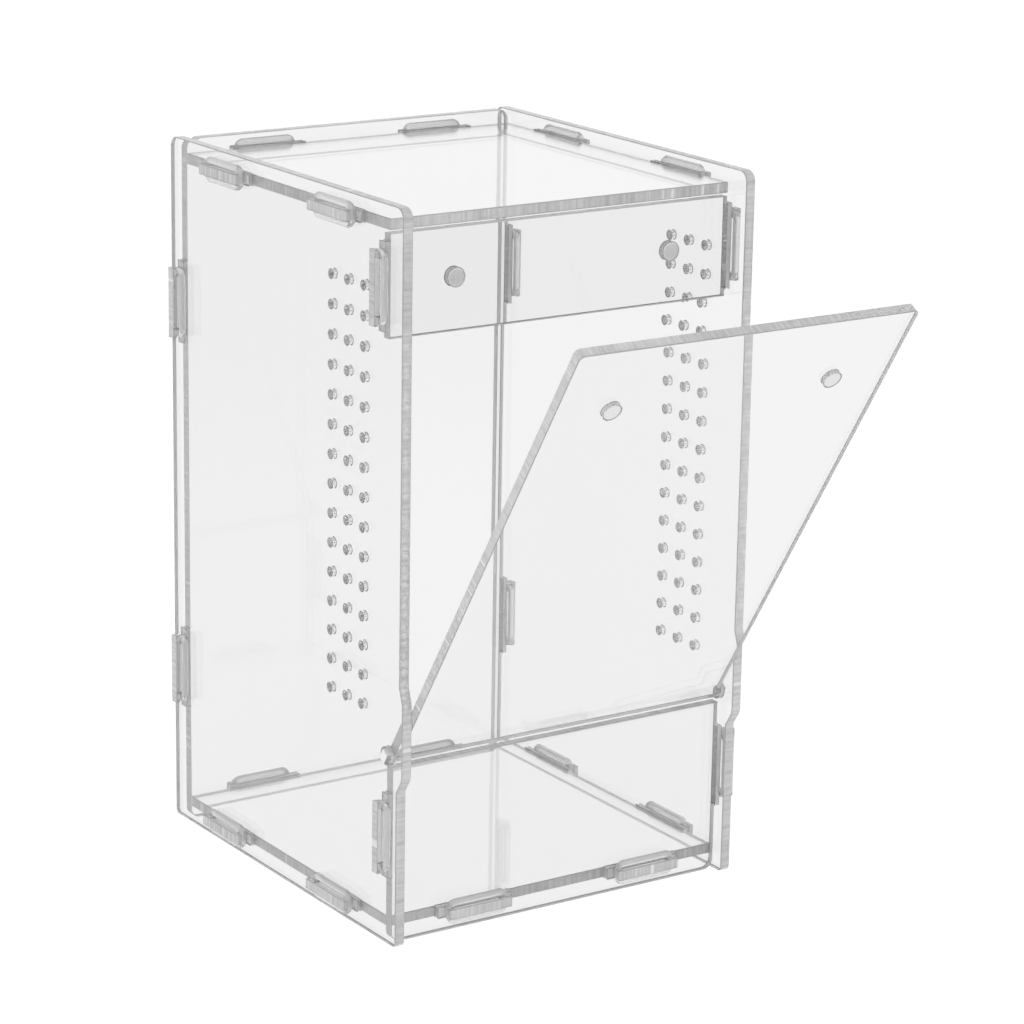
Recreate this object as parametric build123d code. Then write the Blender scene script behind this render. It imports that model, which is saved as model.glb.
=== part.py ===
from build123d import *
from math import atan2, degrees, hypot
import os

# Jumping spider enclosure: clear sheet panels joined by T-shaped tabs and elastic rings,
# with a drop-down front door that swings on two ears and is held shut by disc magnets.
# Millimetres, +Z up, front towards -Y, origin at the middle of the back panel's foot.

# Sheet and overall size
SHEET = 3.0             # every panel is cut from this sheet
WIDTH = 111.0           # across the outer faces of the side panels
DEPTH = 122.5           # upper front edge to rear edge of a side panel
HEIGHT = 200.0          # side panels and back panel
OVERHANG = 4.0          # side panel edge to the roof, floor and back panel inside it
TOP_CORNER = 3.0        # upper corners of the side panels
FOOT_CORNER = 1.5       # lower corners of the side panels
CROSS_CORNER = 3.0      # corners of the back panel, lower corners of the lower front panel

# Front edge of the side panels
LOWER_SETBACK = 1.2     # the lower part sits this far behind the upper one
EAR_FORWARD = 1.5       # the swelling round the hinge hole comes this far forward
EAR_BELOW = 4.7         # swelling below and above the hinge
EAR_ABOVE = 16.3
EAR_SLOPE = 4.1         # height of the slopes that lead into the swelling

# Front panels and door
FRONT_INSET = 5.0       # upper front edge to the front faces of door and lower front panel
LOWER_HEIGHT = 49.5     # lower front panel
FASCIA_HEIGHT = 27.5    # cross panel that carries the fixed magnets
FASCIA_GAP = 0.9        # between the fascia and the roof
DOOR_REAR_GAP = 0.2     # closed door to fascia
DOOR_SIDE_GAP = 0.4     # door to each side panel
DOOR_TOP_RISE = 0.6     # closed door above the top of the side panels
DOOR_BOTTOM_GAP = 1.6   # closed door above the lower front panel
DOOR_CORNER = 1.8
DOOR_OPEN = 32.5        # degrees from closed, as photographed

# Hinge: ears cut in one piece with the door turn in round holes in the side panels
PIVOT_HEIGHT = 3.2      # height of an ear
PIVOT_BEYOND = 0.8      # ears past the outer faces of the side panels
PIVOT_GAP = 0.2         # ear's corners to the hole

# Tabs, slots and rings
TAB_ROOT = 23.2         # length of the part that fills the slot
TAB_NECK = 15.5
TAB_HEAD = 20.0
HEAD_DEPTH = 1.2
SLOT_GAP = 0.1          # round the root
RING_SECTION = 2.0      # thickness of the elastic ring
RING_GAP = 0.05         # ring to neck, panel and head
RING_CORNER = 2.6       # outer corners of the ring, stretched round the neck

# Places of the tabs
ACROSS_SPACING = 55.5   # roof and floor tabs into the back and lower front panels
SIDE_SPACING = 58.0     # roof and floor tabs into the side panels
BACK_SPACING = 107.6    # back panel tabs into the side panels
LOWER_TAB = 30.5        # height of the lower front panel's tabs

# Magnets, as thick as the sheet they are pressed into
MAGNET_DIAMETER = 5.0
MAGNET_GAP = 0.02
MAGNET_SPACING = 68.2
MAGNET_DROP = 13.3      # top of the fascia to the magnets' centres

# Vent holes in each side panel
VENT_DIAMETER = 2.5
VENT_SIDES = 12         # drawn with flats, which is round enough for so small a hole
VENT_PITCH = 8.1
VENT_COLUMNS = 3
VENT_ROWS = 15
VENT_FRONT = 19.2       # upper front edge to the first column
VENT_TOP = 23.1         # top of the side panel to the highest row

# Faces and centre lines that the panels are set out from
half = WIDTH / 2
inner = half - SHEET
back_y = -SHEET / 2
rear = back_y + SHEET + OVERHANG
front = rear - DEPTH
lower_y = front + FRONT_INSET
lower_rear = lower_y + SHEET
fascia_y = lower_rear + DOOR_REAR_GAP
roof_z = HEIGHT - OVERHANG - SHEET
floor_z = OVERHANG
fascia_top = roof_z - FASCIA_GAP
fascia_middle = fascia_top - FASCIA_HEIGHT / 2
magnet_z = fascia_top - MAGNET_DROP
door_bottom = LOWER_HEIGHT + DOOR_BOTTOM_GAP
pivot_y = lower_y + SHEET / 2
pivot_z = door_bottom + PIVOT_HEIGHT / 2
neck_depth = RING_SECTION + 2 * RING_GAP

# Each panel's plane: the outline is drawn there and cut through the sheet along the normal
across, deep, up = Vector(1, 0, 0), Vector(0, 1, 0), Vector(0, 0, 1)
planes = {
    "side_left": Plane(origin=(-half, 0, 0), x_dir=deep, z_dir=across),
    "side_right": Plane(origin=(inner, 0, 0), x_dir=deep, z_dir=across),
    "back": Plane(origin=(0, back_y + SHEET, 0), x_dir=across, z_dir=-deep),
    "roof": Plane(origin=(0, 0, roof_z), x_dir=across, z_dir=up),
    "floor": Plane(origin=(0, 0, floor_z), x_dir=across, z_dir=up),
    "lower_front": Plane(origin=(0, lower_rear, 0), x_dir=across, z_dir=-deep),
    "fascia": Plane(origin=(0, fascia_y + SHEET, 0), x_dir=across, z_dir=-deep),
    "door": Plane(origin=(0, lower_rear, 0), x_dir=across, z_dir=-deep),
}


def side_outline():
    low = front + LOWER_SETBACK
    tip = front - EAR_FORWARD
    swell_bottom = pivot_z - EAR_BELOW
    swell_top = pivot_z + EAR_ABOVE
    edge = Polyline(
        (rear, 0),
        (rear, HEIGHT),
        (front, HEIGHT),
        (front, swell_top + EAR_SLOPE),
        (tip, swell_top),
        (tip, swell_bottom),
        (low, swell_bottom - EAR_SLOPE),
        (low, 0),
        close=True,
    )
    outline = make_face(edge)
    outline = fillet(outline.vertices().group_by(Axis.Y)[0], FOOT_CORNER)
    outline = fillet(outline.vertices().group_by(Axis.Y)[-1], TOP_CORNER)
    pivot_hole = hypot(SHEET, PIVOT_HEIGHT) / 2 + PIVOT_GAP
    outline -= Pos(pivot_y, pivot_z) * Circle(pivot_hole)
    vents = []
    for column in range(VENT_COLUMNS):
        for row in range(VENT_ROWS):
            y = front + VENT_FRONT + column * VENT_PITCH
            z = HEIGHT - VENT_TOP - row * VENT_PITCH
            vents.append(Pos(y, z) * RegularPolygon(VENT_DIAMETER / 2, VENT_SIDES))
    return outline - vents


def strip(half_width, start, stop):
    return Pos(0, (start + stop) / 2) * Rectangle(2 * half_width, stop - start)


def lower_front_outline():
    outline = strip(inner, 0, LOWER_HEIGHT)
    return fillet(outline.vertices().group_by(Axis.Y)[0], CROSS_CORNER)


def door_outline():
    half_width = inner - DOOR_SIDE_GAP
    outline = strip(half_width, door_bottom, HEIGHT + DOOR_TOP_RISE)
    outline = fillet(outline.vertices().group_by(Axis.Y)[-1], DOOR_CORNER)
    return outline + strip(half + PIVOT_BEYOND, door_bottom, door_bottom + PIVOT_HEIGHT)


outlines = {
    "side_left": side_outline(),
    "side_right": side_outline(),
    "back": fillet(strip(inner, 0, HEIGHT).vertices(), CROSS_CORNER),
    "roof": strip(inner, fascia_y, back_y),
    "floor": strip(inner, lower_rear, back_y),
    "lower_front": lower_front_outline(),
    "fascia": strip(inner, fascia_top - FASCIA_HEIGHT, fascia_top),
    "door": door_outline(),
}


def tab_outline():
    # Half of a tab that points along +X: root in the slot, neck for the ring, head that traps it
    neck_end = SHEET + neck_depth
    tip = neck_end + HEAD_DEPTH
    edge = Polyline(
        (-SHEET, 0),
        (-SHEET, TAB_ROOT / 2),
        (SHEET, TAB_ROOT / 2),
        (SHEET, TAB_NECK / 2),
        (neck_end, TAB_NECK / 2),
        (neck_end, TAB_HEAD / 2),
        (tip, TAB_HEAD / 2),
        (tip, 0),
        close=True,
    )
    upper = make_face(edge)
    return upper + mirror(upper, Plane.XZ)


def elastic_ring():
    # Stretched round the neck, between the slotted panel's outer face and the head
    hole = Rectangle(TAB_NECK + 2 * RING_GAP, SHEET + 2 * RING_GAP)
    length = TAB_NECK + 2 * (RING_GAP + RING_SECTION)
    width = SHEET + 2 * (RING_GAP + RING_SECTION)
    outline = RectangleRounded(length, width, RING_CORNER) - hole
    return Pos(0, 0, SHEET + RING_GAP) * extrude(outline, RING_SECTION)


def in_plane(plane, point, direction):
    # Moves a sketch from the origin to a point of the panel's plane, with +X along the direction
    start = plane.to_local_coords(Vector(point))
    turn = plane.to_local_coords(Vector(point) + direction) - start
    return Pos(start.X, start.Y) * Rot(0, 0, degrees(atan2(turn.Y, turn.X)))


# Joints between panels: ring, panel with the tab, panel with the slot, middle of the tab
# on the slotted panel's inner face, outward direction, direction of the tab's length
roof_middle = roof_z + SHEET / 2
floor_middle = floor_z + SHEET / 2
joints = []
for hand, sign in (("left", -1), ("right", 1)):
    side = "side_" + hand
    wall = sign * inner
    out = across * sign
    for end, step in (("front", -1), ("rear", 1)):
        y = (front + rear + step * SIDE_SPACING) / 2
        joints.append((f"ring_roof_{hand}_{end}", "roof", side, (wall, y, roof_middle), out, deep))
        joints.append((f"ring_floor_{hand}_{end}", "floor", side, (wall, y, floor_middle), out, deep))
    for end, step in (("lower", -1), ("upper", 1)):
        z = HEIGHT / 2 + step * BACK_SPACING / 2
        joints.append((f"ring_back_{hand}_{end}", "back", side, (wall, back_y + SHEET / 2, z), out, up))
    fascia_tab = (wall, fascia_y + SHEET / 2, fascia_middle)
    lower_tab = (wall, pivot_y, LOWER_TAB)
    joints.append((f"ring_fascia_{hand}", "fascia", side, fascia_tab, out, up))
    joints.append((f"ring_lower_front_{hand}", "lower_front", side, lower_tab, out, up))
    x = sign * ACROSS_SPACING / 2
    joints.append((f"ring_roof_back_{hand}", "roof", "back", (x, back_y, roof_middle), deep, across))
    joints.append((f"ring_floor_back_{hand}", "floor", "back", (x, back_y, floor_middle), deep, across))
    floor_front = (x, lower_rear, floor_middle)
    joints.append((f"ring_floor_front_{hand}", "floor", "lower_front", floor_front, -deep, across))

tab = tab_outline()
slot = Rectangle(TAB_ROOT + 2 * SLOT_GAP, SHEET + 2 * SLOT_GAP)
ring = elastic_ring()
nodes = {}
for name, owner, slotted, middle, out, along in joints:
    outlines[owner] += in_plane(planes[owner], middle, out) * tab
    outlines[slotted] -= in_plane(planes[slotted], middle, along) * slot
    nodes[name] = Plane(origin=middle, x_dir=along, z_dir=out).location * ring

# Magnets face each other across the closed gap
for carrier in ("fascia", "door"):
    for hand, sign in (("left", -1), ("right", 1)):
        centre = Pos(sign * MAGNET_SPACING / 2, magnet_z)
        outlines[carrier] -= centre * Circle(MAGNET_DIAMETER / 2 + MAGNET_GAP)
        disc = centre * Circle(MAGNET_DIAMETER / 2)
        nodes[f"magnet_{carrier}_{hand}"] = extrude(planes[carrier] * disc, SHEET)

for name, outline in outlines.items():
    nodes[name] = extrude(planes[name] * outline, SHEET)

# The door and its magnets are drawn closed and swing down to the photographed angle
pivot = Axis((0, pivot_y, pivot_z), (1, 0, 0))
for name in ("door", "magnet_door_left", "magnet_door_right"):
    nodes[name] = nodes[name].rotate(pivot, DOOR_OPEN)

os.makedirs("parts", exist_ok=True)
for name, shape in nodes.items():
    export_step(shape, f"parts/{name}.step")
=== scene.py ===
from math import cos, hypot, pi, radians, sin, tan

import bpy
from mathutils import Matrix, Vector


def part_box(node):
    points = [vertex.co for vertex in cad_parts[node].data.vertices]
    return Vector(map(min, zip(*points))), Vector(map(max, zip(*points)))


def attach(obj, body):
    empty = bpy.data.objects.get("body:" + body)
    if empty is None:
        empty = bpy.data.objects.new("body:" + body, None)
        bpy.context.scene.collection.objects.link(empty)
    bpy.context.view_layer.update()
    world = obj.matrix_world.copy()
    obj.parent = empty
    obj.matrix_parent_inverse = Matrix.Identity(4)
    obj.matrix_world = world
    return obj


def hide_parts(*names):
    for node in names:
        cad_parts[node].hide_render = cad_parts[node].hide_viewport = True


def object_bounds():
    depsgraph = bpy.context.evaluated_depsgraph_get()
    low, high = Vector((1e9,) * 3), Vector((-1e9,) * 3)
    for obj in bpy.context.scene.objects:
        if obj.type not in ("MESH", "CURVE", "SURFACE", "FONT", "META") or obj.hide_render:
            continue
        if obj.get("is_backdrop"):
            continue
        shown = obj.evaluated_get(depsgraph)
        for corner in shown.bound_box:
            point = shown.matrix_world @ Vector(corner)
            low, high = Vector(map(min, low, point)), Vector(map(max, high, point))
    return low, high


# Jumping spider enclosure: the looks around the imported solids. Lengths are millimetres until they reach
# Blender, which works in metres. Front towards -Y, +Z up, origin at the middle of the back panel's foot.

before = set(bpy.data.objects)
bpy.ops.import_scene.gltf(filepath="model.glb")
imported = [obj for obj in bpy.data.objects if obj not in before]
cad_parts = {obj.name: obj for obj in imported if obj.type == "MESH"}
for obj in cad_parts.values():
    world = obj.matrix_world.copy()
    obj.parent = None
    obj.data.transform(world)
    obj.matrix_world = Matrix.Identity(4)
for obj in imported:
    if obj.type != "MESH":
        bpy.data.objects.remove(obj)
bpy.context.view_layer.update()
MM = 0.001

# Sheet and overall size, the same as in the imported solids
SHEET = 3.0
WIDTH = 111.0
DEPTH = 122.5
HEIGHT = 200.0
OVERHANG = 4.0
TOP_CORNER = 3.0
FOOT_CORNER = 1.5
CROSS_CORNER = 3.0
LOWER_SETBACK = 1.2
EAR_FORWARD = 1.5
EAR_BELOW = 4.7
EAR_ABOVE = 16.3
EAR_SLOPE = 4.1
FRONT_INSET = 5.0
LOWER_HEIGHT = 49.5
FASCIA_HEIGHT = 27.5
FASCIA_GAP = 0.9
DOOR_REAR_GAP = 0.2
DOOR_SIDE_GAP = 0.4
DOOR_TOP_RISE = 0.6
DOOR_BOTTOM_GAP = 1.6
DOOR_CORNER = 1.8
DOOR_OPEN = 32.5
PIVOT_HEIGHT = 3.2
PIVOT_BEYOND = 0.8
PIVOT_GAP = 0.2
TAB_ROOT = 23.2
TAB_NECK = 15.5
TAB_HEAD = 20.0
HEAD_DEPTH = 1.2
SLOT_GAP = 0.1
RING_SECTION = 2.0
RING_GAP = 0.05
ACROSS_SPACING = 55.5
SIDE_SPACING = 58.0
BACK_SPACING = 107.6
LOWER_TAB = 30.5
MAGNET_DIAMETER = 5.0
MAGNET_GAP = 0.02
MAGNET_SPACING = 68.2
MAGNET_DROP = 13.3
VENT_DIAMETER = 2.5
VENT_PITCH = 8.1
VENT_COLUMNS = 3
VENT_ROWS = 15
VENT_FRONT = 19.2
VENT_TOP = 23.1

# Seen only up close: air where two sheets meet, the broken corner along a cut, and what is rounded
MEETING_GAP = 0.05
EDGE_BREAK = 0.22
SWELL_CORNER = 4.0
WELD = 0.002
RING_BEND = 1.7
MAGNET_RIM = 0.3

# Sizes of the patterns: hills of a cast face, lines of the cutter, painted glints along the cuts, grain of
# the plating
WAVE_LENGTH = 60.0
WAVE_DEPTH = 0.02
STREAK_WIDTH = 0.9
STREAK_DEPTH = 0.01
LINE_WIDTH = 1.2
GLINT_WIDTH = 3.0
GRAIN_WIDTH = 0.4

# Brightness in the studio, where 1 is white
ROOM_OVERHEAD = 0.6
PAPER_THROUGH_SHEETS = 0.89
FAR_PAPER_LOSS = 0.35

# How finely round shapes are drawn
ARC_STEP = radians(7.5)
VENT_STEPS = 32
RING_STEPS = 20
RING_BEND_STEPS = 8
MAGNET_STEPS = 48
RIM_STEPS = 5

# Faces that meet at more than these angles keep a sharp edge between them
SHEET_SHARP = radians(25)
RING_SHARP = radians(60)
MAGNET_SHARP = radians(30)

half = WIDTH / 2
inner = half - SHEET
back_y = -SHEET / 2
rear = back_y + SHEET + OVERHANG
front = rear - DEPTH
lower_y = front + FRONT_INSET
lower_rear = lower_y + SHEET
fascia_y = lower_rear + DOOR_REAR_GAP
roof_z = HEIGHT - OVERHANG - SHEET
floor_z = OVERHANG
fascia_top = roof_z - FASCIA_GAP
fascia_bottom = fascia_top - FASCIA_HEIGHT
magnet_z = fascia_top - MAGNET_DROP
door_bottom = LOWER_HEIGHT + DOOR_BOTTOM_GAP
pivot_y = lower_y + SHEET / 2
pivot_z = door_bottom + PIVOT_HEIGHT / 2
neck_depth = RING_SECTION + 2 * RING_GAP
side_tabs = [(front + rear - SIDE_SPACING) / 2, (front + rear + SIDE_SPACING) / 2]
across_tabs = [-ACROSS_SPACING / 2, ACROSS_SPACING / 2]
back_tabs = [(HEIGHT - BACK_SPACING) / 2, (HEIGHT + BACK_SPACING) / 2]


def add(tree, kind, settings=None, inputs=None):
    """Adds one node; an input is a plain value or the socket that feeds it."""
    made = tree.nodes.new(kind)
    for key, value in (settings or {}).items():
        setattr(made, key, value)
    for key, value in (inputs or {}).items():
        if isinstance(value, bpy.types.NodeSocket):
            tree.links.new(value, made.inputs[key])
        else:
            made.inputs[key].default_value = value
    return made


def linear(colour):
    """sRGB hex to the linear colour that the shaders take."""
    parts = [int(colour[k : k + 2], 16) / 255 for k in (1, 3, 5)]
    return [c / 12.92 if c <= 0.04045 else ((c + 0.055) / 1.055) ** 2.4 for c in parts] + [1.0]


# Materials


def new_material(name):
    made = bpy.data.materials.new(name)
    made.use_nodes = True
    tree = made.node_tree
    tree.nodes.clear()
    return made, tree, add(tree, "ShaderNodeOutputMaterial")


def clear_solid(name, colour, ior, roughness, clarity, gloss=0.5, bump=None, inside=None, marks=None):
    """A clear solid: light bends at its faces, and the share that clarity leaves out is scattered."""
    made, tree, out = new_material(name)
    surface = add(tree, "ShaderNodeBsdfPrincipled", inputs={
        "Base Color": linear(colour), "IOR": ior, "Roughness": roughness,
        "Transmission Weight": clarity, "Specular IOR Level": gloss,
    })
    if inside:
        # Light that meets the surface from inside the solid finds another colour and clarity
        inside_colour, inside_clarity = inside
        side = add(tree, "ShaderNodeNewGeometry").outputs["Backfacing"]
        clear = add(tree, "ShaderNodeMix", {"data_type": "FLOAT"}, {
            0: side, 2: marks(tree, clarity) if marks else clarity, 3: inside_clarity,
        })
        if inside_colour != colour:
            shade = add(tree, "ShaderNodeMix", {"data_type": "RGBA"}, {
                0: side, 6: linear(colour), 7: linear(inside_colour),
            })
            tree.links.new(shade.outputs[2], surface.inputs["Base Color"])
        tree.links.new(clear.outputs[0], surface.inputs["Transmission Weight"])
    if bump:
        height, distance = bump(tree)
        raised = add(tree, "ShaderNodeBump", inputs={
            "Height": height, "Distance": distance, "Strength": 1.0,
        })
        tree.links.new(raised.outputs["Normal"], surface.inputs["Normal"])
    tree.links.new(surface.outputs["BSDF"], out.inputs["Surface"])
    return made


def cast_waves(tree):
    # Slow hills of a cast sheet, about 60 mm across, that bend what is seen through it a little
    place = add(tree, "ShaderNodeTexCoord")
    waves = add(tree, "ShaderNodeTexNoise", inputs={
        "Vector": place.outputs["Object"], "Scale": 1 / (WAVE_LENGTH * MM), "Detail": 1.0,
    })
    return waves.outputs["Fac"], WAVE_DEPTH * MM


def along_the_cut(tree, size, detail):
    # The place in the sheet's own plane is the same through the thickness, so lines run straight across it
    place = add(tree, "ShaderNodeAttribute", {"attribute_name": "place_in_sheet"})
    lines = add(tree, "ShaderNodeTexNoise", inputs={
        "Vector": place.outputs["Vector"], "Scale": 1 / (size * MM), "Detail": detail,
    })
    return lines.outputs["Fac"]


def cut_streaks(tree):
    # Fine lines across the thickness that a laser leaves: really 0.1 mm apart, drawn 0.9 mm apart to show
    return along_the_cut(tree, STREAK_WIDTH, 2.0), STREAK_DEPTH * MM


def cut_lines_and_glints(tree, clarity):
    # The lines are a little clearer and hazier by turns, and about every 10 mm one is made nearly white, a
    # painted glint
    lines = add(tree, "ShaderNodeMapRange", inputs={
        "Value": along_the_cut(tree, LINE_WIDTH, 2.0), "From Min": 0.3, "From Max": 0.7,
        "To Min": clarity - 0.1, "To Max": clarity + 0.1,
    })
    painted_glint = add(tree, "ShaderNodeMapRange", {"interpolation_type": "SMOOTHSTEP"}, {
        "Value": along_the_cut(tree, GLINT_WIDTH, 1.0), "From Min": 0.66, "From Max": 0.74,
        "To Min": 1.0, "To Max": 0.25,
    })
    return add(tree, "ShaderNodeMath", {"operation": "MULTIPLY"}, {
        0: lines.outputs["Result"], 1: painted_glint.outputs["Result"],
    }).outputs[0]


ACRYLIC_IOR = 1.49
SILICONE_IOR = 1.41

# Cast acrylic: clear and glossy, so that only its edges and a faint grey through each sheet show
sheet_face = clear_solid(
    "clear_cast_acrylic", "#FAFAFA", ACRYLIC_IOR, roughness=0.0, clarity=1.0, bump=cast_waves,
)
# The same acrylic where the laser cut it: hazy and satin, so every edge is a grey band with lines across it
# and painted glints along it
sheet_edge = clear_solid(
    "satin_cut_acrylic_edge", "#F0F0F0", ACRYLIC_IOR, roughness=0.18, clarity=0.55, gloss=0.05,
    bump=cut_streaks, inside=("#FFFFFF", 0.2), marks=cut_lines_and_glints,
)
# The corners between face and cut are drawn frosted grey, a painted shade line round every sheet
sheet_corner = clear_solid(
    "acrylic_corner_painted_shade_line", "#C0C0C0", ACRYLIC_IOR, roughness=0.4, clarity=0.4, gloss=0.05,
)
# The walls of small holes come out of the laser glossier than long cuts, so each hole shows a bright glint
vent_wall = clear_solid(
    "glossy_vent_wall", "#F0F0F0", ACRYLIC_IOR, roughness=0.05, clarity=0.92, gloss=0.3,
    inside=("#FFFFFF", 0.75),
)
# The edge and ears that the door turns on are drawn nearly white and glossy, a painted highlight that shows
# as one bright line
hinge_edge = clear_solid(
    "hinge_edge_painted_highlight", "#FFFFFF", ACRYLIC_IOR, roughness=0.1, clarity=0.12, gloss=0.3,
    inside=("#FFFFFF", 0.75),
)
# Clear silicone rubber, moulded: softer gloss, milky grey where it is thick
ring_rubber = clear_solid("milky_silicone_rubber", "#FFFFFF", SILICONE_IOR, roughness=0.12, clarity=0.68)


def nickel_plate():
    # Nickel plating on a pressed magnet: a bright grey mirror with a fine grain
    made, tree, out = new_material("nickel_plated_magnet")
    place = add(tree, "ShaderNodeTexCoord")
    grain = add(tree, "ShaderNodeTexNoise", inputs={
        "Vector": place.outputs["Object"], "Scale": 1 / (GRAIN_WIDTH * MM), "Detail": 3.0,
    })
    spread = add(tree, "ShaderNodeMapRange", inputs={
        "Value": grain.outputs["Fac"], "To Min": 0.18, "To Max": 0.34,
    })
    surface = add(tree, "ShaderNodeBsdfPrincipled", inputs={
        "Base Color": linear("#EAEAEA"), "Metallic": 1.0, "Roughness": spread.outputs["Result"],
    })
    tree.links.new(surface.outputs["BSDF"], out.inputs["Surface"])
    return made


magnet_nickel = nickel_plate()


# Outlines: loops of points in each panel's own plane, the outer one anticlockwise, holes clockwise


def round_corner(before, corner, after, radius):
    back = (Vector(before) - Vector(corner)).normalized()
    ahead = (Vector(after) - Vector(corner)).normalized()
    turn = pi - back.angle(ahead)
    reach = radius * tan(turn / 2)
    start = Vector(corner) + back * reach
    middle = Vector(corner) + (back + ahead).normalized() * radius / cos(turn / 2)
    steps = max(2, round(turn / ARC_STEP))
    spoke = start - middle
    sense = 1 if back.x * ahead.y - back.y * ahead.x < 0 else -1
    points = []
    for step in range(steps + 1):
        angle = sense * turn * step / steps
        points.append(middle + Vector((
            spoke.x * cos(angle) - spoke.y * sin(angle), spoke.x * sin(angle) + spoke.y * cos(angle),
        )))
    return points


def loop(points):
    """Points are (x, y) or (x, y, corner radius)."""
    made = []
    for k, point in enumerate(points):
        if len(point) == 2:
            made.append(Vector(point))
        else:
            before, after = points[k - 1][:2], points[(k + 1) % len(points)][:2]
            made += round_corner(before, point[:2], after, point[2])
    return made


def round_hole(x, y, radius):
    steps = round(2 * pi / ARC_STEP)
    turns = [-2 * pi * step / steps for step in range(steps)]
    return [Vector((x + radius * cos(a), y + radius * sin(a))) for a in turns]


def slot(x, y, long_x):
    reach = (TAB_ROOT / 2 + SLOT_GAP, SHEET / 2 + SLOT_GAP)
    a, b = reach if long_x else reach[::-1]
    return loop([(x - a, y - b), (x - a, y + b), (x + a, y + b), (x + a, y - b)])


def tab(middle, along, out):
    """The points of one tab, walking along an edge; middle is on the slotted panel's inner face."""
    neck_end = SHEET + neck_depth
    tip = neck_end + HEAD_DEPTH
    half_outline = [
        (TAB_ROOT / 2, -MEETING_GAP), (TAB_ROOT / 2, SHEET), (TAB_NECK / 2, SHEET),
        (TAB_NECK / 2, neck_end), (TAB_HEAD / 2, neck_end), (TAB_HEAD / 2, tip),
    ]
    walk = [(-a, b) for a, b in half_outline] + half_outline[::-1]
    middle, along, out = Vector(middle), Vector(along), Vector(out)
    return [tuple(middle + along * a + out * b) for a, b in walk]


def strip(half_width, bottom, top, tabs, foot_corner=0.0, top_corner=0.0):
    """A rectangle with tabs; tabs names an edge and the places of the tabs along it."""
    right, rise = Vector((1, 0)), Vector((0, 1))
    edges = [
        ("bottom", (-half_width, bottom), right, -rise, foot_corner),
        ("right", (half_width, bottom), rise, right, foot_corner),
        ("top", (half_width, top), -right, rise, top_corner),
        ("left", (-half_width, top), -rise, -right, top_corner),
    ]
    points = []
    for edge, start, along, out, corner in edges:
        points.append((*start, corner) if corner else start)
        places = sorted(tabs.get(edge, []), key=lambda place: place * (along.x + along.y))
        for place in places:
            middle = (place, start[1]) if along.x else (start[0], place)
            points += tab(Vector(middle) + out * MEETING_GAP, along, out)
    return loop(points)


def side_loops():
    low = front + LOWER_SETBACK
    tip = front - EAR_FORWARD
    swell_bottom = pivot_z - EAR_BELOW
    swell_top = pivot_z + EAR_ABOVE
    outline = loop([
        (rear, 0, FOOT_CORNER), (rear, HEIGHT, TOP_CORNER), (front, HEIGHT, TOP_CORNER),
        (front, swell_top + EAR_SLOPE), (tip, swell_top, SWELL_CORNER), (tip, swell_bottom, SWELL_CORNER),
        (low, swell_bottom - EAR_SLOPE), (low, 0, FOOT_CORNER),
    ])
    loops = [outline, round_hole(pivot_y, pivot_z, hypot(SHEET, PIVOT_HEIGHT) / 2 + PIVOT_GAP)]
    for z in (roof_z + SHEET / 2, floor_z + SHEET / 2):
        loops += [slot(y, z, True) for y in side_tabs]
    loops += [slot(back_y + SHEET / 2, z, False) for z in back_tabs]
    loops.append(slot(fascia_y + SHEET / 2, (fascia_top + fascia_bottom) / 2, False))
    loops.append(slot(pivot_y, LOWER_TAB, False))
    return loops


def magnet_holes():
    radius = MAGNET_DIAMETER / 2 + MAGNET_GAP
    return [round_hole(x, magnet_z, radius) for x in (-MAGNET_SPACING / 2, MAGNET_SPACING / 2)]


def door_loops():
    half_width = inner - DOOR_SIDE_GAP
    ear = half + PIVOT_BEYOND
    top = HEIGHT + DOOR_TOP_RISE
    ear_top = door_bottom + PIVOT_HEIGHT
    outline = loop([
        (-ear, door_bottom), (ear, door_bottom), (ear, ear_top), (half_width, ear_top),
        (half_width, top, DOOR_CORNER), (-half_width, top, DOOR_CORNER), (-half_width, ear_top),
        (-ear, ear_top),
    ])
    return [outline] + magnet_holes()


def plane(origin, x_dir, normal):
    x, z = Vector(x_dir), Vector(normal)
    turn = Matrix((x, z.cross(x), z)).transposed().to_4x4()
    return Matrix.Translation(Vector(origin) * MM) @ turn


X, Y, Z = (1, 0, 0), (0, 1, 0), (0, 0, 1)
FORWARD = (0, -1, 0)
short = inner - MEETING_GAP
sides = {"left": side_tabs, "right": side_tabs}
back_slots = [slot(x, z + SHEET / 2, True) for x in across_tabs for z in (roof_z, floor_z)]
floor_slots = [slot(x, floor_z + SHEET / 2, True) for x in across_tabs]
fascia_tab = [(fascia_top + fascia_bottom) / 2]
pivot = Vector((0, pivot_y, pivot_z)) * MM
swing = Matrix.Translation(pivot) @ Matrix.Rotation(radians(DOOR_OPEN), 4, "X") @ Matrix.Translation(-pivot)

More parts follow.
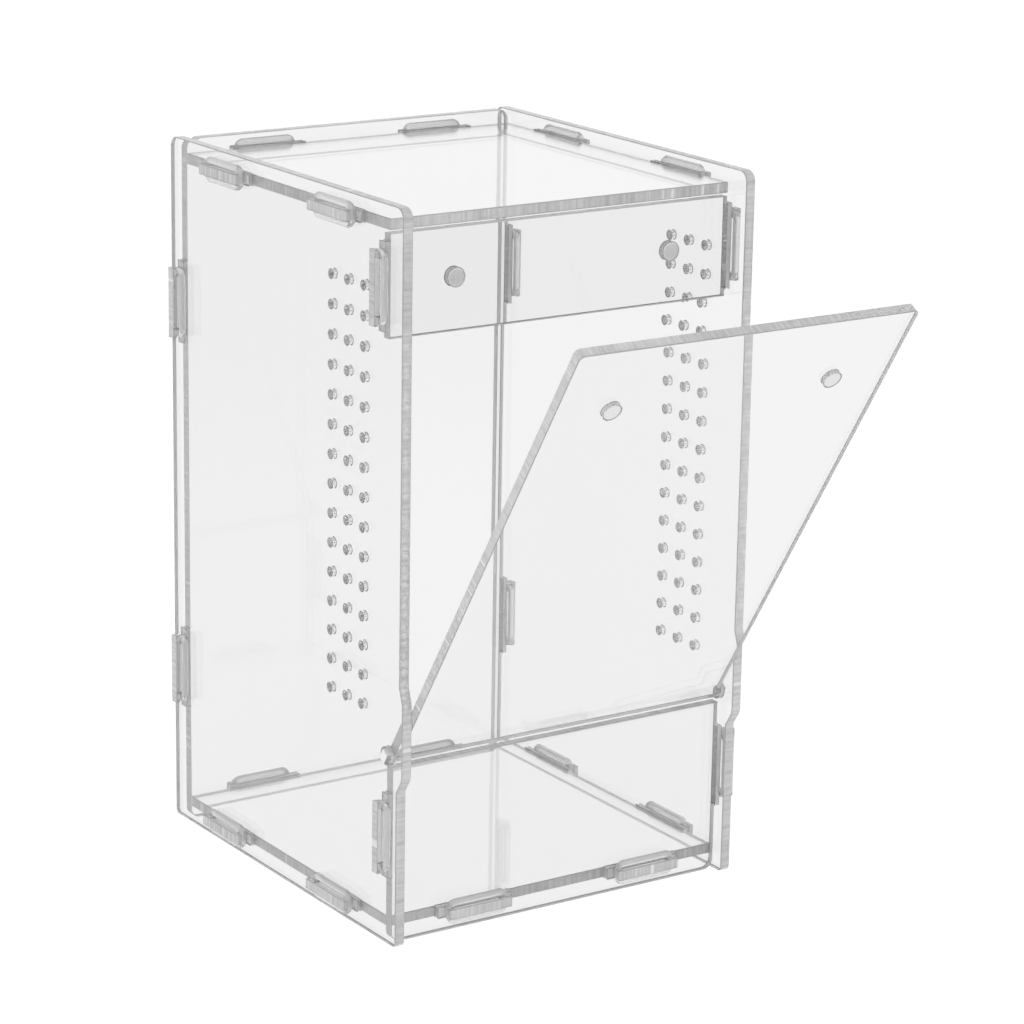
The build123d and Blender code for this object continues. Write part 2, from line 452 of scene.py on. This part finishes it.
# Piece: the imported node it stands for, its body, its plane and its loops
panels = {
    "left_side_panel": ("side_left", "enclosure", plane((-half, 0, 0), Y, X), side_loops()),
    "right_side_panel": ("side_right", "enclosure", plane((inner, 0, 0), Y, X), side_loops()),
    "back_panel": ("back", "enclosure", plane((0, back_y + SHEET, 0), X, FORWARD), [
        strip(short, 0, HEIGHT, {"left": back_tabs, "right": back_tabs}, CROSS_CORNER, CROSS_CORNER),
        *back_slots,
    ]),
    "roof_panel": ("roof", "enclosure", plane((0, 0, roof_z), X, Z), [
        strip(short, fascia_y, back_y - MEETING_GAP, {**sides, "top": across_tabs}),
    ]),
    "floor_panel": ("floor", "enclosure", plane((0, 0, floor_z), X, Z), [
        strip(short, lower_rear + MEETING_GAP, back_y - MEETING_GAP, {
            **sides, "top": across_tabs, "bottom": across_tabs,
        }),
    ]),
    "lower_front_panel": ("lower_front", "enclosure", plane((0, lower_rear, 0), X, FORWARD), [
        strip(short, 0, LOWER_HEIGHT, {"left": [LOWER_TAB], "right": [LOWER_TAB]}, CROSS_CORNER),
        *floor_slots,
    ]),
    "fascia_panel": ("fascia", "enclosure", plane((0, fascia_y + SHEET, 0), X, FORWARD), [
        strip(short, fascia_bottom, fascia_top, {"left": fascia_tab, "right": fascia_tab}),
        *magnet_holes(),
    ]),
    "door_panel": ("door", "door", swing @ plane((0, lower_rear, 0), X, FORWARD), door_loops()),
}
with_vents = ("left_side_panel", "right_side_panel")


# Node trees


def new_tree(name, sizes, counts=(), vectors=(), materials=("Material",)):
    """A tree with named inputs, a geometry in and a geometry out."""
    tree = bpy.data.node_groups.new(name, "GeometryNodeTree")
    kinds = {"Geometry": "Geometry", **{n: "Float" for n in sizes}, **{n: "Int" for n in counts}}
    kinds.update({n: "Vector" for n in vectors})
    kinds.update({n: "Material" for n in materials})
    for socket, kind in kinds.items():
        tree.interface.new_socket(name=socket, in_out="INPUT", socket_type="NodeSocket" + kind)
    tree.interface.new_socket(name="Geometry", in_out="OUTPUT", socket_type="NodeSocketGeometry")
    return tree, add(tree, "NodeGroupInput").outputs


def cut_sheet_tree():
    """A sheet cut out along closed curves, with a grid of round vents and its sharp edges broken."""
    tree, given = new_tree(
        "cut sheet", ("Thickness", "Edge Break", "Vent Diameter", "Vent Pitch", "Hinge Edge To"),
        ("Vent Columns", "Vent Rows", "Vent Sides"), ("Vent Middle",),
        ("Sheet Face", "Cut Edge", "Corner", "Vent Wall", "Hinge Edge"),
    )

    # Sizes that follow from the inputs, each from two earlier sizes or numbers
    sizes = dict(given.items())
    for name, operation, a, b in (
        ("Columns Less One", "SUBTRACT", "Vent Columns", 1.0),
        ("Grid Width", "MULTIPLY", "Columns Less One", "Vent Pitch"),
        ("Rows Less One", "SUBTRACT", "Vent Rows", 1.0),
        ("Grid Height", "MULTIPLY", "Rows Less One", "Vent Pitch"),
        ("Vent Radius", "DIVIDE", "Vent Diameter", 2.0),
        ("Inward", "MULTIPLY", "Edge Break", -1.0),
        ("Upper Break", "SUBTRACT", "Edge Break", "Thickness"),
        ("Top", "MULTIPLY", "Thickness", -1.0),
    ):
        result = add(tree, "ShaderNodeMath", {"operation": operation}, {
            0: sizes.get(a, a), 1: sizes.get(b, b),
        })
        sizes[name] = result.outputs["Value"]
    grid = add(tree, "GeometryNodeMeshGrid", inputs={
        "Size X": sizes["Grid Width"], "Size Y": sizes["Grid Height"],
        "Vertices X": given["Vent Columns"], "Vertices Y": given["Vent Rows"],
    })
    circle = add(tree, "GeometryNodeCurvePrimitiveCircle", inputs={
        "Resolution": given["Vent Sides"], "Radius": sizes["Vent Radius"],
    })
    clockwise = add(tree, "GeometryNodeReverseCurve", inputs={"Curve": circle.outputs["Curve"]})
    vents = add(tree, "GeometryNodeInstanceOnPoints", inputs={
        "Points": grid.outputs["Mesh"], "Instance": clockwise.outputs["Curve"],
    })
    real = add(tree, "GeometryNodeRealizeInstances", inputs={"Geometry": vents.outputs["Instances"]})
    placed = add(tree, "GeometryNodeTransform", inputs={
        "Geometry": real.outputs["Geometry"], "Translation": given["Vent Middle"],
    })
    both = add(tree, "GeometryNodeJoinGeometry")
    tree.links.new(given["Geometry"], both.inputs[0])
    marked = add(tree, "GeometryNodeStoreNamedAttribute", {"data_type": "FLOAT", "domain": "POINT"}, {
        "Geometry": placed.outputs["Geometry"], "Name": "vent_wall", "Value": 1.0,
    })
    tree.links.new(marked.outputs["Geometry"], both.inputs[0])
    paths = add(tree, "GeometryNodeSetCurveNormal", {"mode": "Z_UP"}, {"Curve": both.outputs["Geometry"]})

    # Along a flat curve the profile's X points out of the sheet's outline and its Y points down
    stations = []
    for out, down in (("Inward", 0.0), (0.0, "Inward"), (0.0, "Upper Break"), ("Inward", "Top")):
        station = add(tree, "ShaderNodeCombineXYZ", inputs={
            "X": sizes.get(out, out), "Y": sizes.get(down, down),
        })
        stations.append(station.outputs["Vector"])
    profile = add(tree, "GeometryNodeJoinGeometry")
    for start, end in zip(stations[1:], stations):
        line = add(tree, "GeometryNodeCurvePrimitiveLine", inputs={"Start": start, "End": end})
        tree.links.new(line.outputs["Curve"], profile.inputs[0])
    band = add(tree, "GeometryNodeCurveToMesh", inputs={
        "Curve": paths.outputs["Curve"], "Profile Curve": profile.outputs["Geometry"],
    })
    sideways = add(tree, "ShaderNodeVectorMath", {"operation": "SCALE"}, {
        0: add(tree, "GeometryNodeInputNormal").outputs["Normal"], "Scale": sizes["Inward"],
    })
    inset = add(tree, "GeometryNodeSetPosition", inputs={
        "Geometry": paths.outputs["Curve"], "Offset": sideways.outputs["Vector"],
    })
    cap = add(tree, "GeometryNodeFillCurve", {"mode": "TRIANGLES"}, {"Curve": inset.outputs["Geometry"]})
    under = add(tree, "GeometryNodeFlipFaces", inputs={"Mesh": cap.outputs["Mesh"]})
    upward = add(tree, "ShaderNodeCombineXYZ", inputs={"Z": given["Thickness"]})
    over = add(tree, "GeometryNodeTransform", inputs={
        "Geometry": cap.outputs["Mesh"], "Translation": upward.outputs["Vector"],
    })
    shell = add(tree, "GeometryNodeJoinGeometry")
    for part in (band.outputs["Mesh"], under.outputs["Mesh"], over.outputs["Geometry"]):
        tree.links.new(part, shell.inputs[0])
    welded = add(tree, "GeometryNodeMergeByDistance", inputs={
        "Geometry": shell.outputs["Geometry"], "Distance": WELD * MM,
    })
    flat_place = add(tree, "ShaderNodeVectorMath", {"operation": "MULTIPLY"}, {
        0: add(tree, "GeometryNodeInputPosition").outputs["Position"], 1: (1.0, 1.0, 0.0),
    })
    noted = add(tree, "GeometryNodeStoreNamedAttribute", {"data_type": "FLOAT_VECTOR", "domain": "POINT"}, {
        "Geometry": welded.outputs["Geometry"], "Name": "place_in_sheet",
        "Value": flat_place.outputs["Vector"],
    })
    real = add(tree, "GeometryNodeRealizeInstances", inputs={"Geometry": noted.outputs["Geometry"]})
    tilt = add(tree, "ShaderNodeSeparateXYZ", inputs={
        "Vector": add(tree, "GeometryNodeInputNormal").outputs["Normal"],
    })
    flat = add(tree, "ShaderNodeMath", {"operation": "ABSOLUTE"}, {0: tilt.outputs["Z"]})
    in_vent = add(tree, "GeometryNodeInputNamedAttribute", {"data_type": "FLOAT"}, {"Name": "vent_wall"})
    where = add(tree, "ShaderNodeSeparateXYZ", inputs={
        "Vector": add(tree, "GeometryNodeInputPosition").outputs["Position"],
    })
    at_hinge = add(tree, "ShaderNodeMath", {"operation": "LESS_THAN"}, {
        0: where.outputs["Y"], 1: given["Hinge Edge To"],
    })
    finished = add(tree, "GeometryNodeSetMaterial", inputs={
        "Geometry": real.outputs["Geometry"], "Material": given["Sheet Face"],
    })
    # What leans is a broken corner and what stands up is a cut, which differs in the vents and at the
    # hinge, where the cut carries a painted highlight
    leaning, upright = 0.9, 0.2
    for limit, part, material in (
        (leaning, 1.0, "Corner"),
        (upright, 1.0, "Cut Edge"),
        (upright, in_vent.outputs["Attribute"], "Vent Wall"),
        (upright, at_hinge.outputs["Value"], "Hinge Edge"),
    ):
        steep = add(tree, "ShaderNodeMath", {"operation": "LESS_THAN"}, {
            0: flat.outputs["Value"], 1: limit,
        })
        chosen = add(tree, "ShaderNodeMath", {"operation": "MULTIPLY"}, {
            0: steep.outputs["Value"], 1: part,
        })
        finished = add(tree, "GeometryNodeSetMaterial", inputs={
            "Geometry": finished.outputs["Geometry"], "Selection": chosen.outputs["Value"],
            "Material": given[material],
        })
    add(tree, "NodeGroupOutput", inputs={"Geometry": finished.outputs["Geometry"]})
    return tree


def bake(base, tree, values, name, place=None, sharp=SHEET_SHARP):
    """Runs the tree on the base object and returns the result as a plain mesh object at the origin."""
    bpy.context.scene.collection.objects.link(base)
    modifier = base.modifiers.new(tree.name, "NODES")
    modifier.node_group = tree
    sockets = {s.name: s.identifier for s in tree.interface.items_tree if s.in_out == "INPUT"}
    for key, value in values.items():
        modifier[sockets[key]] = value
    graph = bpy.context.evaluated_depsgraph_get()
    mesh = bpy.data.meshes.new_from_object(base.evaluated_get(graph), depsgraph=graph)
    base.modifiers.remove(modifier)
    bpy.data.objects.remove(base)
    if place:
        mesh.transform(place)
    used = {face.material_index for face in mesh.polygons}
    for index in reversed(range(len(mesh.materials))):
        if index not in used:
            mesh.materials.pop(index=index)
    mesh.name = name
    mesh.shade_smooth()
    mesh.set_sharp_from_angle(angle=sharp)
    made = bpy.data.objects.new(name, mesh)
    bpy.context.scene.collection.objects.link(made)
    return made


def outline_curve(name, loops):
    curve = bpy.data.curves.new(name, "CURVE")
    curve.dimensions = "3D"
    for points in loops:
        spline = curve.splines.new("POLY")
        spline.points.add(len(points) - 1)
        for target, point in zip(spline.points, points):
            target.co = (point.x * MM, point.y * MM, 0, 1)
        spline.use_cyclic_u = True
    return bpy.data.objects.new(name, curve)


sheet_cutter = cut_sheet_tree()
# The door's cut edge carries the painted highlight up to just over its ears, and no other sheet reaches so
# far down
hinge_edge_to = door_bottom + PIVOT_HEIGHT + 0.1
NOWHERE = -1000.0
vent_middle = (
    (front + VENT_FRONT + (VENT_COLUMNS - 1) * VENT_PITCH / 2) * MM,
    (HEIGHT - VENT_TOP - (VENT_ROWS - 1) * VENT_PITCH / 2) * MM, 0.0,
)
for name, (node, body, place, loops) in panels.items():
    vented = name in with_vents
    panel = bake(outline_curve(name + "_outline", loops), sheet_cutter, {
        "Thickness": SHEET * MM, "Edge Break": EDGE_BREAK * MM,
        "Hinge Edge To": (hinge_edge_to if body == "door" else NOWHERE) * MM,
        "Vent Diameter": VENT_DIAMETER * MM, "Vent Pitch": VENT_PITCH * MM,
        "Vent Columns": VENT_COLUMNS if vented else 0, "Vent Rows": VENT_ROWS if vented else 0,
        "Vent Sides": VENT_STEPS, "Vent Middle": vent_middle,
        "Sheet Face": sheet_face, "Cut Edge": sheet_edge, "Corner": sheet_corner,
        "Vent Wall": vent_wall, "Hinge Edge": hinge_edge,
    }, name, place)
    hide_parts(node)
    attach(panel, body)


# Rings: one round-section elastic on the neck of every tab


def ring_tree():
    tree, given = new_tree("tab rings", ("Neck Length", "Neck Width", "Section", "Corner Radius"))

    # The path runs through the middle of the section, so it is one section longer and wider than the neck
    length = add(tree, "ShaderNodeMath", {"operation": "ADD"}, {
        0: given["Neck Length"], 1: given["Section"],
    })
    width = add(tree, "ShaderNodeMath", {"operation": "ADD"}, {
        0: given["Neck Width"], 1: given["Section"],
    })
    radius = add(tree, "ShaderNodeMath", {"operation": "DIVIDE"}, {0: given["Section"], 1: 2.0})
    path = add(tree, "GeometryNodeCurvePrimitiveQuadrilateral", inputs={
        "Width": length.outputs["Value"], "Height": width.outputs["Value"],
    })
    bent = add(tree, "GeometryNodeFilletCurve", {"mode": "POLY"}, {
        "Curve": path.outputs["Curve"], "Count": RING_BEND_STEPS, "Radius": given["Corner Radius"],
        "Limit Radius": True,
    })
    section = add(tree, "GeometryNodeCurvePrimitiveCircle", inputs={
        "Resolution": RING_STEPS, "Radius": radius.outputs["Value"],
    })
    band = add(tree, "GeometryNodeCurveToMesh", inputs={
        "Curve": bent.outputs["Curve"], "Profile Curve": section.outputs["Curve"],
    })
    directions = {}
    for name in ("out", "along"):
        named = add(tree, "GeometryNodeInputNamedAttribute", {"data_type": "FLOAT_VECTOR"}, {"Name": name})
        directions[name] = named.outputs["Attribute"]
    turned = add(tree, "FunctionNodeAxesToRotation", inputs={
        "Primary Axis": directions["out"], "Secondary Axis": directions["along"],
    })
    rings = add(tree, "GeometryNodeInstanceOnPoints", inputs={
        "Points": given["Geometry"], "Instance": band.outputs["Mesh"],
        "Rotation": turned.outputs["Rotation"],
    })
    real = add(tree, "GeometryNodeRealizeInstances", inputs={"Geometry": rings.outputs["Instances"]})
    clear = add(tree, "GeometryNodeSetMaterial", inputs={
        "Geometry": real.outputs["Geometry"], "Material": given["Material"],
    })
    add(tree, "NodeGroupOutput", inputs={"Geometry": clear.outputs["Geometry"]})
    return tree


ring_nodes = sorted(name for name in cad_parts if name.startswith("ring_"))
places = bpy.data.meshes.new("tab_necks")
middles, outs, alongs = [], [], []
for name in ring_nodes:
    low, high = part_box(name)
    size = high - low
    order = sorted(range(3), key=lambda axis: size[axis])
    middles.append((low + high) / 2)
    outs.append(Vector([float(axis == order[0]) for axis in range(3)]))
    alongs.append(Vector([float(axis == order[2]) for axis in range(3)]))
places.from_pydata(middles, [], [])
for name, vectors in (("out", outs), ("along", alongs)):
    attribute = places.attributes.new(name, "FLOAT_VECTOR", "POINT")
    attribute.data.foreach_set("vector", [value for vector in vectors for value in vector])
rings = bake(bpy.data.objects.new("tab_necks", places), ring_tree(), {
    "Neck Length": (TAB_NECK + 2 * RING_GAP) * MM, "Neck Width": (SHEET + 2 * RING_GAP) * MM,
    "Section": RING_SECTION * MM, "Corner Radius": RING_BEND * MM, "Material": ring_rubber,
}, "tab_rings", sharp=RING_SHARP)
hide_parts(*ring_nodes)
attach(rings, "enclosure")


# Magnets: turned on an axis, with rounded rims


def disc(name, centre, axis, radius, thickness, rim):
    """Rings of points from one face round the rim to the other, with a point at the middle of each face."""
    bends = [pi / 2 * step / RIM_STEPS for step in range(RIM_STEPS + 1)]
    profile = [(radius - rim + rim * sin(a), rim - rim * cos(a)) for a in bends]
    profile += [(radius - rim + rim * cos(a), thickness - rim + rim * sin(a)) for a in bends]
    turns = [2 * pi * step / MAGNET_STEPS for step in range(MAGNET_STEPS)]
    points = [(x * cos(a), x * sin(a), z - thickness / 2) for x, z in profile for a in turns]
    last_ring = len(points) - MAGNET_STEPS
    foot, top = len(points), len(points) + 1
    points += [(0, 0, -thickness / 2), (0, 0, thickness / 2)]
    faces = []
    for k in range(MAGNET_STEPS):
        after = (k + 1) % MAGNET_STEPS
        faces += [(foot, after, k), (top, last_ring + k, last_ring + after)]
        for ring in range(0, last_ring, MAGNET_STEPS):
            above = ring + MAGNET_STEPS
            faces.append((ring + k, ring + after, above + after, above + k))
    mesh = bpy.data.meshes.new(name)
    mesh.from_pydata([Vector(point) * MM for point in points], [], faces)
    mesh.transform(Matrix.Translation(centre) @ axis.to_track_quat("Z", "Y").to_matrix().to_4x4())
    mesh.materials.append(magnet_nickel)
    mesh.shade_smooth()
    mesh.set_sharp_from_angle(angle=MAGNET_SHARP)
    made = bpy.data.objects.new(name, mesh)
    bpy.context.scene.collection.objects.link(made)
    return made


for carrier, body in (("fascia", "enclosure"), ("door", "door")):
    for hand in ("left", "right"):
        node = f"magnet_{carrier}_{hand}"
        low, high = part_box(node)
        facing = Vector(FORWARD)
        if carrier == "door":
            facing.rotate(Matrix.Rotation(radians(DOOR_OPEN), 3, "X"))
        name = f"{carrier}_magnet_{hand}"
        magnet = disc(name, (low + high) / 2, facing, MAGNET_DIAMETER / 2, SHEET, MAGNET_RIM)
        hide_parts(node)
        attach(magnet, body)


# Studio: pale floor, white surroundings, soft lamps


def white_surroundings():
    world = bpy.data.worlds.new("white_studio")
    bpy.context.scene.world = world
    world.use_nodes = True
    tree = world.node_tree
    tree.nodes.clear()
    place = add(tree, "ShaderNodeTexCoord")
    height = add(tree, "ShaderNodeSeparateXYZ", inputs={"Vector": place.outputs["Generated"]})
    # White up to the height of the sweep, then the dim upper part of the room
    upper = add(tree, "ShaderNodeMapRange", {"interpolation_type": "SMOOTHSTEP"}, {
        "Value": height.outputs["Z"], "From Min": 0.35, "From Max": 0.8,
        "To Min": 1.0, "To Max": ROOM_OVERHEAD,
    })
    back = add(tree, "ShaderNodeBackground", inputs={
        "Color": linear("#FFFFFF"), "Strength": upper.outputs["Result"],
    })
    out = add(tree, "ShaderNodeOutputWorld")
    tree.links.new(back.outputs["Background"], out.inputs["Surface"])


def pale_floor():
    made, tree, out = new_material("white_paper_sweep")
    # Mirrors that face forward see the dim room beyond the paper's front edge, from 0.3 to 0.6 m away
    out_of_door = (0.55, -0.83, 0.0)
    place = add(tree, "ShaderNodeTexCoord")
    forward = add(tree, "ShaderNodeVectorMath", {"operation": "DOT_PRODUCT"}, {
        0: place.outputs["Object"], 1: out_of_door,
    })
    beyond = add(tree, "ShaderNodeMapRange", {"interpolation_type": "SMOOTHSTEP"}, {
        "Value": forward.outputs["Value"], "From Min": 0.3, "From Max": 0.6,
        "To Min": 0.0, "To Max": FAR_PAPER_LOSS,
    })
    path = add(tree, "ShaderNodeLightPath")
    mirrored = add(tree, "ShaderNodeMath", {"operation": "GREATER_THAN"}, {
        0: path.outputs["Glossy Depth"], 1: 0.5,
    })
    dim = add(tree, "ShaderNodeMath", {"operation": "MULTIPLY"}, {
        0: beyond.outputs["Result"], 1: mirrored.outputs["Value"],
    })
    # Straight from the camera the paper is burnt out to white, and through the sheets it is a shade darker
    burnt = add(tree, "ShaderNodeMapRange", inputs={
        "Value": path.outputs["Is Camera Ray"], "To Min": PAPER_THROUGH_SHEETS, "To Max": 1.0,
    })
    glow = add(tree, "ShaderNodeMath", {"operation": "SUBTRACT"}, {
        0: burnt.outputs["Result"], 1: dim.outputs["Value"],
    })
    matt = add(tree, "ShaderNodeBsdfDiffuse", inputs={"Color": linear("#4A4A4A")})
    light = add(tree, "ShaderNodeEmission", inputs={"Strength": glow.outputs[0]})
    both = add(tree, "ShaderNodeAddShader", inputs={0: matt.outputs[0], 1: light.outputs[0]})
    tree.links.new(both.outputs[0], out.inputs["Surface"])
    mesh = bpy.data.meshes.new("floor_sweep")
    # A hair below the feet, so that no two surfaces share a place
    reach = 8.0
    below = -0.1 * MM
    corners = [(x * reach, y * reach, below) for x, y in ((-1, -1), (1, -1), (1, 1), (-1, 1))]
    mesh.from_pydata(corners, [], [(0, 1, 2, 3)])
    mesh.materials.append(made)
    sweep = bpy.data.objects.new("floor_sweep", mesh)
    bpy.context.scene.collection.objects.link(sweep)
    sweep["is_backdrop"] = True


BOX_MIDDLE = Vector((0, -0.05, 0.1))


def soft_lamp(name, place, size, watts):
    lamp = bpy.data.lights.new(name, "AREA")
    lamp.shape = "RECTANGLE"
    lamp.size, lamp.size_y = size
    lamp.energy = watts
    made = bpy.data.objects.new(name, lamp)
    made.location = place
    made.rotation_euler = (BOX_MIDDLE - Vector(place)).to_track_quat("-Z", "Y").to_euler()
    bpy.context.scene.collection.objects.link(made)


def photo_camera():
    # Where the photographer stood, found from the box's edges; the focal length is in pixels
    focal = 3646.952
    picture_width = 1024
    sensor_width = 36.0
    azimuth, elevation, roll = radians(-33.831), radians(15.681), radians(0.982)
    stand = (-0.533876, -0.881985, 0.374672)
    ahead = Vector((-sin(azimuth) * cos(elevation), cos(azimuth) * cos(elevation), -sin(elevation)))
    right = Vector((cos(azimuth), sin(azimuth), 0))
    up = right.cross(ahead)
    level_right = cos(roll) * right + sin(roll) * up
    level_up = -sin(roll) * right + cos(roll) * up
    lens = bpy.data.cameras.new("photo_camera")
    lens.sensor_width = sensor_width
    lens.lens = focal * sensor_width / picture_width
    lens.clip_start, lens.clip_end = 0.05, 50
    camera = bpy.data.objects.new("photo_camera", lens)
    turn = Matrix((level_right, level_up, -ahead)).transposed().to_4x4()
    camera.matrix_world = Matrix.Translation(stand) @ turn
    bpy.context.scene.collection.objects.link(camera)
    bpy.context.scene.camera = camera


white_surroundings()
pale_floor()
soft_lamp("soft_box_above", (-0.5, -0.3, 1.5), (0.7, 0.7), 1.0)
soft_lamp("soft_box_right", (1.3, -0.5, 0.9), (0.4, 0.9), 1.0)
photo_camera()

scene = bpy.context.scene
scene.view_settings.view_transform = "Standard"
# Light runs the whole length of a sheet between its faces, so it needs many bounces
scene.cycles.max_bounces = 96
scene.cycles.diffuse_bounces = 24
scene.cycles.transmission_bounces = 96
scene.cycles.glossy_bounces = 96

low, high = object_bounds()
